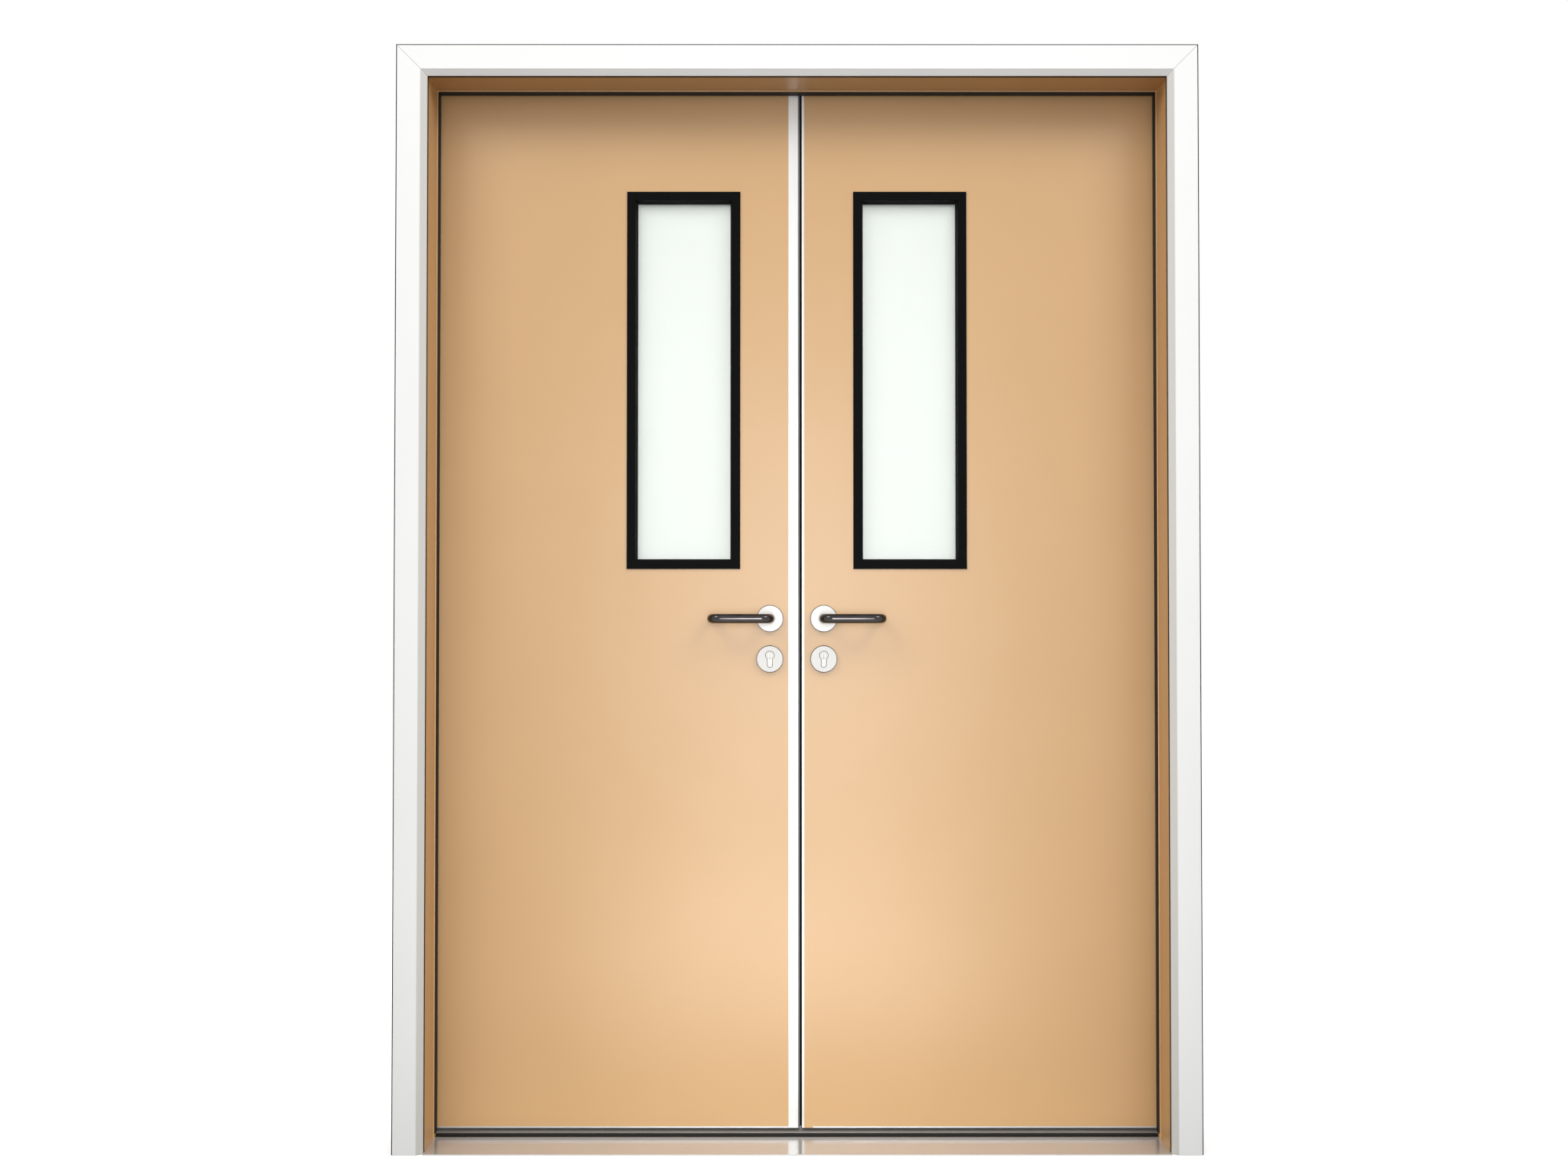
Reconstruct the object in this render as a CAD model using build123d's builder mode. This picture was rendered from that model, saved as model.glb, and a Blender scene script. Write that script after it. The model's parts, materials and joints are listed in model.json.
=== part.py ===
"""Double leaf fire rated steel door in its steel frame.

Millimetres. X runs to the right seen from the casing side, Y runs from the casing side through
the wall, Z is up. The origin is on the underside of the threshold plate, in the middle of the
doorway and of the frame's depth. Both leaves swing to the +Y side.
"""
import os

from build123d import *

os.makedirs("parts", exist_ok=True)

# Doorway between the reveals
clear_width = 1478.0
clear_height = 2141.0
frame_depth = 170.0

# Folded sheet of casings, linings and frame
sheet = 1.5
bend_radius = 2.0
mitre_gap = 0.3
mitre_overrun = 100.0

# Casings on both faces of the wall
casing_width = 59.0
casing_return = 18.0
bevel_width = 12.0
bevel_depth = 8.0
bevel_lip = 2.5
bevel_radius = 0.8
edge_seal_thickness = 2.0
edge_seal_setback = 1.0

# Reveal lining between the front casing and the door frame
joint_gasket_width = 6.0
joint_gasket_recess = 0.8
joint_gasket_thickness = 3.0
lining_flange = 14.0

# Door frame with its stop and rebate
stop_projection = 2.3
stop_length = 19.0
rebate_step = 15.0
frame_flange = 16.0
stop_seal_thickness = 3.5
stop_seal_gap = 0.5
stop_seal_width = 8.0

# Leaves
leaf_thickness = 50.0
leaf_gap = 5.0
leaf_bottom = 15.0
meeting_centre = 7.8
meeting_gap = 5.0
leaf_edge_radius = 1.0
meeting_sheet = 1.5
meeting_flange_wide = 22.4
meeting_flange_narrow = 4.5
bottom_flange = 3.0
bottom_sheet = 1.5

# Vision panels, in the same place on both leaves
vision_inner_edge = 116.5
vision_width = 233.8
vision_bottom = 1158.3
vision_top_margin = 210.7
bead_face = 18.0
bead_proud = 3.0
bead_wall = 3.0
bead_edge_radius = 0.6
bead_cutout_gap = 0.5
glass_thickness = 8.0
glass_edge_gap = 0.5
glass_seat_gap = 0.3

# Lever handles and lock furniture
furniture_offset = 55.3
lever_height = 1056.4
cylinder_spacing = 83.0
rose_diameter = 55.0
rose_thickness = 9.0
rose_edge_chamfer = 0.8
lever_tube = 19.0
lever_projection = 55.0
lever_reach = 117.7
lever_bend = 17.0
lever_return_gap = 9.0
lever_end_chamfer = 1.5
neck_clearance = 0.5
neck_depth = 5.0
spindle_width = 8.0
spindle_clearance = 0.15
spindle_socket = 16.0
spindle_hole = 16.0
cylinder_head_diameter = 17.0
cylinder_web_width = 10.0
cylinder_height = 33.0
cylinder_head_rise = 7.5
cylinder_clearance = 0.3
cylinder_proud = 0.6
keyway_width = 1.6
keyway_height = 9.0
keyway_depth = 6.0
keyway_drop = 1.6

# Lock faceplates let into the meeting edges
faceplate_height = 235.0
faceplate_width = 20.0
faceplate_thickness = 3.0
faceplate_rise = 75.0
faceplate_gap = 0.2
latch_width = 12.0
latch_height = 34.0
bolt_width = 9.0
bolt_height = 28.0
bolt_drop = 52.0
nose_proud = 1.0
nose_chamfer = 0.6
pocket_grow = 2.0
pocket_depth = 12.0

# Butt hinges on the +Y side
hinge_count = 3
hinge_top_margin = 210.0
hinge_bottom_margin = 240.0
hinge_height = 100.0
knuckle_diameter = 14.0
knuckle_setback = 8.0
knuckle_gap = 0.5
pin_diameter = 8.0
pin_clearance = 0.1
hinge_plate = 2.2
hinge_plate_depth = 34.0
hinge_cap_height = 4.0

# Threshold
plate_thickness = 2.0
bar_lead = 8.0
bar_height = 8.0
bar_rear_margin = 2.0
bar_front_chamfer = 1.0
bar_rear_chamfer = 2.0
threshold_side_gap = 0.3
threshold_gasket_height = 3.5
threshold_gasket_thickness = 1.5

# Wall anchors behind the lining
anchor_count = 4
anchor_end_margin = 200.0
anchor_head_offset = 400.0
anchor_width = 40.0
anchor_sheet = 3.0
anchor_reach = 38.0
anchor_start = 35.0
anchor_knee = 60.0
anchor_foot = 75.0
anchor_end = 112.0
anchor_hole_back = 95.5
anchor_hole_diameter = 10.0

# Values worked out from the sizes above
front_y = -frame_depth / 2
rear_y = frame_depth / 2
half_clear = clear_width / 2
lining_start = bevel_depth + bevel_lip + joint_gasket_width
leaf_front_back = frame_depth - leaf_thickness
stop_end = leaf_front_back - stop_seal_gap - stop_seal_thickness
lining_end = stop_end - stop_length
rebate_out = rebate_step - stop_projection
leaf_front_y = front_y + leaf_front_back
leaf_side_x = half_clear + rebate_out - leaf_gap
leaf_top_z = clear_height + rebate_out - leaf_gap
leaf_height = leaf_top_z - leaf_bottom
leaf_middle_y = rear_y - leaf_thickness / 2
vision_height = leaf_top_z - vision_top_margin - vision_bottom
cylinder_height_z = lever_height - cylinder_spacing
faceplate_z = lever_height + faceplate_rise - faceplate_height / 2
hinge_axis_x = half_clear + rebate_out - leaf_gap / 2
hinge_axis_y = rear_y + knuckle_setback
bar_top = plate_thickness + bar_height


def save(builder, node):
    """Label a finished piece and write its file."""
    builder.part.label = node
    export_step(builder.part, f"parts/{node}.step")


def jamb_points(section):
    """Places section points, given as outward and back from the doorway's edge, on the left jamb."""
    return [(-half_clear - out, front_y + back) for out, back in section]


def head_points(section):
    """Places the same section points on the head, as Y and Z."""
    return [(front_y + back, clear_height + out) for out, back in section]


def mitre_plane(side, shift):
    """The 45 degree plane through a top corner of the doorway, moved along its normal."""
    corner = Plane(origin=(side * half_clear, 0, clear_height), z_dir=(-side, 0, 1))
    return corner.offset(shift)


def folded_trim(name, section, thickness, radius):
    """Makes the two jambs and the head of a folded sheet section, mitred at the top corners."""
    run = clear_height + mitre_overrun
    with BuildPart() as left:
        with BuildSketch(Plane.XY):
            with BuildLine():
                FilletPolyline(*jamb_points(section), radius=radius)
                offset(amount=thickness, side=Side.LEFT)
            make_face()
        extrude(amount=run)
        split(bisect_by=mitre_plane(-1, -mitre_gap / 2), keep=Keep.BOTTOM)
    save(left, f"{name}_left")
    with BuildPart() as right:
        mirror(left.part, about=Plane.YZ)
    save(right, f"{name}_right")
    half_run = half_clear + mitre_overrun
    with BuildPart() as head:
        with BuildSketch(Plane.YZ.offset(-half_run)):
            with BuildLine():
                FilletPolyline(*head_points(section), radius=radius)
                offset(amount=thickness, side=Side.LEFT)
            make_face()
        extrude(amount=2 * half_run)
        split(bisect_by=mitre_plane(-1, mitre_gap / 2), keep=Keep.TOP)
        split(bisect_by=mitre_plane(1, mitre_gap / 2), keep=Keep.TOP)
    save(head, f"{name}_head")


def rubber_loop(name, out_low, out_high, back_low, back_high, bottom):
    """Makes a rubber strip that runs up one jamb, along the head and down the other jamb."""
    low_x = half_clear + out_low
    high_x = half_clear + out_high
    with BuildPart() as loop:
        with BuildSketch(Plane.XZ.offset(-front_y - back_low)):
            with BuildLine():
                Polyline(
                    (-high_x, bottom),
                    (-high_x, clear_height + out_high),
                    (high_x, clear_height + out_high),
                    (high_x, bottom),
                    (low_x, bottom),
                    (low_x, clear_height + out_low),
                    (-low_x, clear_height + out_low),
                    (-low_x, bottom),
                    close=True,
                )
            make_face()
        extrude(amount=-(back_high - back_low))
    save(loop, name)


def make_frame():
    """Casings, lining, door frame and the rubber strips between them."""
    front_casing = [
        (casing_width, casing_return),
        (casing_width, 0),
        (bevel_width, 0),
        (0, bevel_depth),
        (0, bevel_depth + bevel_lip),
    ]
    folded_trim("front_casing", front_casing, sheet, bevel_radius)
    reveal_lining = [
        (lining_flange, lining_start),
        (0, lining_start),
        (0, lining_end),
    ]
    folded_trim("reveal_lining", reveal_lining, sheet, bend_radius)
    door_frame = [
        (frame_flange, lining_end),
        (-stop_projection, lining_end),
        (-stop_projection, stop_end),
        (rebate_out, stop_end),
        (rebate_out, frame_depth - sheet),
        (rebate_out + frame_flange, frame_depth - sheet),
    ]
    folded_trim("door_frame", door_frame, sheet, bend_radius)
    rear_casing = [
        (rebate_out, frame_depth),
        (casing_width, frame_depth),
        (casing_width, frame_depth - casing_return),
    ]
    folded_trim("rear_casing", rear_casing, sheet, bend_radius)
    rubber_loop(
        "casing_edge_seal",
        casing_width,
        casing_width + edge_seal_thickness,
        edge_seal_setback,
        casing_return,
        0,
    )
    rubber_loop(
        "reveal_joint_gasket",
        joint_gasket_recess,
        joint_gasket_recess + joint_gasket_thickness,
        bevel_depth + bevel_lip,
        lining_start,
        plate_thickness,
    )
    rubber_loop(
        "door_stop_seal",
        0,
        stop_seal_width,
        stop_end,
        stop_end + stop_seal_thickness,
        bar_top,
    )


def make_threshold():
    """Polished plate across the doorway, with the raised bar under the leaves."""
    reveal_x = half_clear - threshold_side_gap
    stop_x = reveal_x - stop_projection
    rebate_x = reveal_x + rebate_out
    stop_from = front_y + lining_end
    stop_to = front_y + stop_end + bend_radius
    with BuildPart() as plate:
        with BuildSketch(Plane.XY):
            with Locations((0, (front_y + stop_from) / 2)):
                Rectangle(2 * reveal_x, stop_from - front_y)
            with Locations((0, (stop_from + stop_to) / 2)):
                Rectangle(2 * stop_x, stop_to - stop_from)
            with Locations((0, (stop_to + rear_y) / 2)):
                Rectangle(2 * rebate_x, rear_y - stop_to)
        extrude(amount=plate_thickness)
    save(plate, "threshold_plate")
    bar_from = leaf_front_y - bar_lead
    bar_to = rear_y - bar_rear_margin
    with BuildPart() as bar:
        with BuildSketch(Plane.XY.offset(plate_thickness)):
            with Locations((0, (bar_from + stop_to) / 2)):
                Rectangle(2 * stop_x, stop_to - bar_from)
            with Locations((0, (stop_to + bar_to) / 2)):
                Rectangle(2 * rebate_x, bar_to - stop_to)
        extrude(amount=bar_height)
        chamfer(bar.edges().group_by(Axis.Z)[-1].sort_by(Axis.Y)[0], bar_front_chamfer)
        chamfer(bar.edges().group_by(Axis.Z)[-1].sort_by(Axis.Y)[-1], bar_rear_chamfer)
    save(bar, "threshold_bar")
    with BuildPart() as gasket:
        with BuildSketch(Plane.XY.offset(plate_thickness)):
            with Locations((0, bar_from - threshold_gasket_thickness / 2)):
                Rectangle(2 * stop_x, threshold_gasket_thickness)
        extrude(amount=threshold_gasket_height)
    save(gasket, "threshold_gasket")


def make_wall_anchors():
    """Cranked straps welded behind the lining, each with a hole for a wall bolt."""
    strap = [
        (sheet, anchor_start),
        (sheet, anchor_knee),
        (anchor_reach, anchor_foot),
        (anchor_reach, anchor_end),
    ]
    hole_y = front_y + anchor_hole_back
    foot_x = half_clear + anchor_reach
    foot_z = clear_height + anchor_reach
    step = (clear_height - 2 * anchor_end_margin) / (anchor_count - 1)
    with BuildPart() as anchors:
        for number in range(anchor_count):
            height = anchor_end_margin + number * step
            with BuildSketch(Plane.XY.offset(height - anchor_width / 2)):
                with BuildLine():
                    Polyline(*jamb_points(strap))
                    offset(amount=anchor_sheet, side=Side.LEFT, kind=Kind.INTERSECTION)
                make_face()
            extrude(amount=anchor_width)
            with Locations(Plane(origin=(-foot_x, hole_y, height), z_dir=(-1, 0, 0))):
                Hole(anchor_hole_diameter / 2, depth=2 * anchor_sheet)
        mirror(anchors.part, about=Plane.YZ)
        for offset_x in (-anchor_head_offset, anchor_head_offset):
            with BuildSketch(Plane.YZ.offset(offset_x - anchor_width / 2)):
                with BuildLine():
                    Polyline(*head_points(strap))
                    offset(amount=anchor_sheet, side=Side.LEFT, kind=Kind.INTERSECTION)
                make_face()
            extrude(amount=anchor_width)
            with Locations(Plane(origin=(offset_x, hole_y, foot_z), z_dir=(0, 0, 1))):
                Hole(anchor_hole_diameter / 2, depth=2 * anchor_sheet)
    save(anchors, "wall_anchors")


def hinge_bottoms():
    """Heights of the hinges' lower ends."""
    lowest = leaf_bottom + hinge_bottom_margin
    highest = leaf_top_z - hinge_top_margin - hinge_height
    step = (highest - lowest) / (hinge_count - 1)
    return [lowest + step * number for number in range(hinge_count)]


def make_hinges(side, word):
    """Three butt hinges: plates in the gap, knuckles behind the leaf's rear face."""
    axis_x = side * hinge_axis_x
    wall_x = side * (half_clear + rebate_out)
    edge_x = side * leaf_side_x
    knuckle_radius = knuckle_diameter / 2
    plate_from = rear_y - hinge_plate_depth
    third = hinge_height / 3
    frame_plate_x = wall_x - side * hinge_plate / 2
    leaf_plate_x = edge_x + side * hinge_plate / 2
    plate_length = hinge_axis_y - plate_from
    plate_y = (hinge_axis_y + plate_from) / 2
    with BuildPart() as frame_half:
        for bottom in hinge_bottoms():
            with BuildSketch(Plane.XY.offset(bottom)):
                with Locations((frame_plate_x, plate_y)):
                    Rectangle(hinge_plate, plate_length)
                with Locations((axis_x, hinge_axis_y)):
                    Circle(knuckle_radius)
            extrude(amount=hinge_height)
            with BuildSketch(Plane.XY.offset(bottom + third)):
                with Locations((axis_x, hinge_axis_y)):
                    Circle(knuckle_radius + knuckle_gap)
            extrude(amount=third, mode=Mode.SUBTRACT)
            with BuildSketch(Plane.XY.offset(bottom - hinge_cap_height)):
                with Locations((axis_x, hinge_axis_y)):
                    Circle(pin_diameter / 2)
            extrude(amount=hinge_height + 2 * hinge_cap_height)
    save(frame_half, f"{word}_hinge_frame_halves")
    with BuildPart() as leaf_half:
        for bottom in hinge_bottoms():
            with BuildSketch(Plane.XY.offset(bottom)):
                with Locations((leaf_plate_x, plate_y)):
                    Rectangle(hinge_plate, plate_length)
            extrude(amount=hinge_height)
            for low, high in ((0, third), (2 * third, hinge_height)):
                with BuildSketch(Plane.XY.offset(bottom + low)):
                    with Locations((axis_x, hinge_axis_y)):
                        Circle(knuckle_radius + knuckle_gap)
                extrude(amount=high - low, mode=Mode.SUBTRACT)
            with BuildSketch(Plane.XY.offset(bottom + third + knuckle_gap)):
                with Locations((axis_x, hinge_axis_y)):
                    Circle(knuckle_radius)
            extrude(amount=third - 2 * knuckle_gap)
            with BuildSketch(Plane.XY.offset(bottom)):
                with Locations((axis_x, hinge_axis_y)):
                    Circle(pin_diameter / 2 + pin_clearance)
            extrude(amount=hinge_height, mode=Mode.SUBTRACT)
    save(leaf_half, f"{word}_hinge_leaf_halves")


def make_leaf(side, word):
    """One leaf: steel panel, meeting edge profile and bottom channel."""
    edge_x = side * leaf_side_x
    meeting_x = meeting_centre + side * meeting_gap / 2
    if side < 0:
        front_flange, rear_flange = meeting_flange_wide, meeting_flange_narrow
    else:
        front_flange, rear_flange = meeting_flange_narrow, meeting_flange_wide
    web_x = meeting_x + side * meeting_sheet
    front_x = meeting_x + side * front_flange
    rear_x = meeting_x + side * rear_flange
    channel_x = meeting_x + side * (meeting_flange_wide + mitre_gap)
    channel_middle = (edge_x + channel_x) / 2
    channel_length = abs(edge_x - channel_x)
    vision_x = side * (vision_inner_edge + vision_width / 2)
    vision_z = vision_bottom + vision_height / 2
    cut_grow = 2 * (bead_wall + bead_cutout_gap - bead_face)
    furniture_x = side * furniture_offset
    plate_plane = Plane(origin=(meeting_x, leaf_middle_y, faceplate_z), z_dir=(side, 0, 0))
    recess_width = faceplate_width + 2 * faceplate_gap
    recess_height = faceplate_height + 2 * faceplate_gap
    with BuildPart() as panel:
        with BuildSketch(Plane.XY.offset(leaf_bottom)):
            with BuildLine():
                Polyline(
                    (edge_x, leaf_front_y),
                    (front_x, leaf_front_y),
                    (front_x, leaf_front_y + meeting_sheet),
                    (web_x, leaf_front_y + meeting_sheet),
                    (web_x, rear_y - meeting_sheet),
                    (rear_x, rear_y - meeting_sheet),
                    (rear_x, rear_y),
                    (edge_x, rear_y),
                    close=True,
                )
            make_face()
        extrude(amount=leaf_height)
        hinge_edges = panel.edges().filter_by(Axis.Z).sort_by(Axis.X)
        chosen = hinge_edges[:2] if side < 0 else hinge_edges[-2:]
        fillet(chosen, leaf_edge_radius)
        with BuildSketch(Plane.XZ.offset(-leaf_front_y)):
            with Locations((vision_x, vision_z)):
                Rectangle(vision_width + cut_grow, vision_height + cut_grow)
            with Locations((furniture_x, lever_height)):
                Circle(spindle_hole / 2)
        extrude(amount=-leaf_thickness, mode=Mode.SUBTRACT)
        with BuildSketch(Plane.XZ.offset(-leaf_front_y)):
            with BuildLine():
                cylinder_outline(furniture_x, cylinder_clearance)
            make_face()
        extrude(amount=-leaf_thickness, mode=Mode.SUBTRACT)
        for skin_y in (leaf_front_y + bottom_sheet / 2, rear_y - bottom_sheet / 2):
            with BuildSketch(Plane.XY.offset(leaf_bottom)):
                with Locations((channel_middle, skin_y)):
                    Rectangle(channel_length, bottom_sheet)
            extrude(amount=bottom_flange, mode=Mode.SUBTRACT)
        with BuildSketch(Plane.XY.offset(leaf_bottom)):
            with Locations((channel_middle, leaf_middle_y)):
                Rectangle(channel_length, leaf_thickness)
        extrude(amount=bottom_sheet, mode=Mode.SUBTRACT)
        with BuildSketch(plate_plane):
            Rectangle(recess_height, recess_width)
        extrude(amount=faceplate_thickness, mode=Mode.SUBTRACT)
        if side > 0:
            with BuildSketch(plate_plane.offset(faceplate_thickness)):
                bolt_outlines(pocket_grow)
            extrude(amount=pocket_depth, mode=Mode.SUBTRACT)
    save(panel, f"{word}_leaf_panel")
    with BuildPart() as meeting:
        with BuildSketch(Plane.XY.offset(leaf_bottom)):
            with BuildLine():
                Polyline(
                    (meeting_x, leaf_front_y),
                    (front_x, leaf_front_y),
                    (front_x, leaf_front_y + meeting_sheet),
                    (web_x, leaf_front_y + meeting_sheet),
                    (web_x, rear_y - meeting_sheet),
                    (rear_x, rear_y - meeting_sheet),
                    (rear_x, rear_y),
                    (meeting_x, rear_y),
                    close=True,
                )
            make_face()
        extrude(amount=leaf_height)
        corner_edges = meeting.edges().filter_by(Axis.Z).sort_by(Axis.X)
        corners = corner_edges[-2:] if side < 0 else corner_edges[:2]
        fillet(corners, leaf_edge_radius)
        with BuildSketch(plate_plane):
            Rectangle(recess_height, recess_width)
        extrude(amount=faceplate_thickness, mode=Mode.SUBTRACT)
    save(meeting, f"{word}_meeting_profile")
    with BuildPart() as faceplate:
        with BuildSketch(plate_plane):
            Rectangle(faceplate_height, faceplate_width)
        extrude(amount=faceplate_thickness)
        if side < 0:
            with BuildSketch(plate_plane):
                bolt_outlines(0)
            extrude(amount=-nose_proud)
            nose_faces = faceplate.faces().sort_by(Axis.X)[-2:]
            chamfer(nose_faces.edges(), nose_chamfer)
        else:
            with BuildSketch(plate_plane):
                bolt_outlines(pocket_grow)
            extrude(amount=faceplate_thickness, mode=Mode.SUBTRACT)
    save(faceplate, f"{word}_lock_faceplate")
    with BuildPart() as channel:
        with BuildSketch(Plane.XY.offset(leaf_bottom)):
            with Locations((channel_middle, leaf_middle_y)):
                Rectangle(channel_length, leaf_thickness)
        extrude(amount=bottom_flange)
        with BuildSketch(Plane.XY.offset(leaf_bottom + bottom_sheet)):
            with Locations((channel_middle, leaf_middle_y)):
                Rectangle(channel_length, leaf_thickness - 2 * bottom_sheet)
        extrude(amount=bottom_flange, mode=Mode.SUBTRACT)
    save(channel, f"{word}_bottom_channel")


def bolt_outlines(grow):
    """Draws the ends of the latch and of the dead bolt on a faceplate, larger all round by grow."""
    with Locations((lever_height - faceplate_z, 0)):
        Rectangle(latch_height + 2 * grow, latch_width + 2 * grow)
    with Locations((lever_height - bolt_drop - faceplate_z, 0)):
        Rectangle(bolt_height + 2 * grow, bolt_width + 2 * grow)


def cylinder_outline(centre_x, grow):
    """Draws the euro profile of the lock cylinder, larger all round by grow, in X and Z."""
    head_z = cylinder_height_z + cylinder_head_rise
    head_radius = cylinder_head_diameter / 2 + grow
    web = cylinder_web_width / 2 + grow
    foot_z = head_z + cylinder_head_diameter / 2 - cylinder_height + cylinder_web_width / 2
    shoulder_z = head_z - (head_radius**2 - web**2) ** 0.5
    ThreePointArc(
        (centre_x - web, shoulder_z), (centre_x, head_z + head_radius), (centre_x + web, shoulder_z)
    )
    Line((centre_x + web, shoulder_z), (centre_x + web, foot_z))
    ThreePointArc((centre_x + web, foot_z), (centre_x, foot_z - web), (centre_x - web, foot_z))
    Line((centre_x - web, foot_z), (centre_x - web, shoulder_z))


def make_vision_panel(side, word):
    """Glass held between two black beads, one on each face of the leaf."""
    centre_x = side * (vision_inner_edge + vision_width / 2)
    centre_z = vision_bottom + vision_height / 2
    inner_width = vision_width - 2 * bead_face
    inner_height = vision_height - 2 * bead_face
    glass_front = leaf_middle_y - glass_thickness / 2
    sleeve_depth = glass_front - glass_seat_gap - leaf_front_y
    with BuildPart() as bead:
        with BuildSketch(Plane.XZ.offset(-(leaf_front_y - bead_proud))):
            with Locations((centre_x, centre_z)):
                Rectangle(vision_width, vision_height)
                Rectangle(inner_width, inner_height, mode=Mode.SUBTRACT)
        extrude(amount=-bead_proud)
        with BuildSketch(Plane.XZ.offset(-leaf_front_y)):
            with Locations((centre_x, centre_z)):
                Rectangle(inner_width + 2 * bead_wall, inner_height + 2 * bead_wall)
                Rectangle(inner_width, inner_height, mode=Mode.SUBTRACT)
        extrude(amount=-sleeve_depth)
        face_edges = bead.faces().sort_by(Axis.Y)[0].edges()
        fillet(face_edges, bead_edge_radius)
    save(bead, f"{word}_vision_bead_front")
    with BuildPart() as rear_bead:
        mirror(bead.part, about=Plane.XZ.offset(-leaf_middle_y))
    save(rear_bead, f"{word}_vision_bead_rear")
    pane_grow = 2 * (bead_wall + bead_cutout_gap - glass_edge_gap)
    with BuildPart() as pane:
        with BuildSketch(Plane.XZ.offset(-glass_front)):
            with Locations((centre_x, centre_z)):
                Rectangle(inner_width + pane_grow, inner_height + pane_grow)
        extrude(amount=-glass_thickness)
    save(pane, f"{word}_vision_glass")


def make_furniture(side, word):
    """Roses, escutcheons and lock cylinder on the leaf, and the lever that turns in them."""
    centre_x = side * furniture_offset
    mirror_plane = Plane.XZ.offset(-leaf_middle_y)
    with BuildPart() as rose:
        with BuildSketch(Plane.XZ.offset(-leaf_front_y)):
            with Locations((centre_x, lever_height)):
                Circle(rose_diameter / 2)
                Circle(lever_tube / 2 + neck_clearance, mode=Mode.SUBTRACT)
        extrude(amount=rose_thickness)
        outer_edge = rose.faces().sort_by(Axis.Y)[0].edges().sort_by(SortBy.RADIUS)[-1]
        chamfer(outer_edge, rose_edge_chamfer)
        mirror(rose.part, about=mirror_plane)
    save(rose, f"{word}_lever_roses")
    with BuildPart() as escutcheon:
        with BuildSketch(Plane.XZ.offset(-leaf_front_y)):
            with Locations((centre_x, cylinder_height_z)):
                Circle(rose_diameter / 2)
        extrude(amount=rose_thickness)
        outer_edge = escutcheon.faces().sort_by(Axis.Y)[0].edges()[0]
        chamfer(outer_edge, rose_edge_chamfer)
        with BuildSketch(Plane.XZ.offset(-leaf_front_y)):
            with BuildLine():
                cylinder_outline(centre_x, cylinder_clearance)
            make_face()
        extrude(amount=rose_thickness, mode=Mode.SUBTRACT)
        mirror(escutcheon.part, about=mirror_plane)
    save(escutcheon, f"{word}_lock_escutcheons")
    head_z = cylinder_height_z + cylinder_head_rise
    cylinder_front = leaf_front_y - rose_thickness - cylinder_proud
    cylinder_length = leaf_thickness + 2 * (rose_thickness + cylinder_proud)
    with BuildPart() as cylinder:
        with BuildSketch(Plane.XZ.offset(-cylinder_front)):
            with BuildLine():
                cylinder_outline(centre_x, 0)
            make_face()
        extrude(amount=-cylinder_length)
        for key_y in (cylinder_front + keyway_depth, cylinder_front + cylinder_length):
            with BuildSketch(Plane.XZ.offset(-key_y)):
                with Locations((centre_x, head_z - keyway_drop)):
                    Rectangle(keyway_width, keyway_height)
            extrude(amount=keyway_depth, mode=Mode.SUBTRACT)
    save(cylinder, f"{word}_lock_cylinder")
    bar_y = leaf_front_y - lever_projection
    neck_end_y = leaf_front_y - rose_thickness + neck_depth
    return_y = leaf_front_y - lever_return_gap
    reach_x = centre_x + side * lever_reach
    with BuildPart() as lever:
        with BuildLine() as route:
            FilletPolyline(
                (centre_x, neck_end_y, lever_height),
                (centre_x, bar_y, lever_height),
                (reach_x, bar_y, lever_height),
                (reach_x, return_y, lever_height),
                radius=lever_bend,
            )
        with BuildSketch(Plane(origin=route.line @ 0, z_dir=route.line % 0)):
            Circle(lever_tube / 2)
        sweep()
        tip = lever.faces().filter_by(Axis.Y).sort_by(Axis.X)
        tip_face = tip[0] if side < 0 else tip[-1]
        chamfer(tip_face.edges(), lever_end_chamfer)
    spindle_end_y = rear_y + rose_thickness - neck_depth + spindle_socket
    with BuildPart() as front_lever:
        add(lever.part)
        with BuildSketch(Plane.XZ.offset(-neck_end_y)):
            with Locations((centre_x, lever_height)):
                Rectangle(spindle_width, spindle_width)
        extrude(amount=-(spindle_end_y - neck_end_y))
    save(front_lever, f"{word}_lever_front")
    with BuildPart() as rear_lever:
        mirror(lever.part, about=mirror_plane)
        with BuildSketch(Plane.XZ.offset(-(spindle_end_y + spindle_clearance))):
            with Locations((centre_x, lever_height)):
                Rectangle(spindle_width + 2 * spindle_clearance, spindle_width + 2 * spindle_clearance)
        extrude(amount=spindle_socket + spindle_clearance, mode=Mode.SUBTRACT)
    save(rear_lever, f"{word}_lever_rear")


make_frame()
make_threshold()
make_wall_anchors()
for side, word in ((-1, "left"), (1, "right")):
    make_hinges(side, word)
    make_leaf(side, word)
    make_vision_panel(side, word)
    make_furniture(side, word)
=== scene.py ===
"""Looks of the double leaf fire rated steel door: finishes, seals, screws, light and camera.

Metres. X runs to the right seen from the casing side, Y through the wall, Z up.
"""
import json
import math

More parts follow.
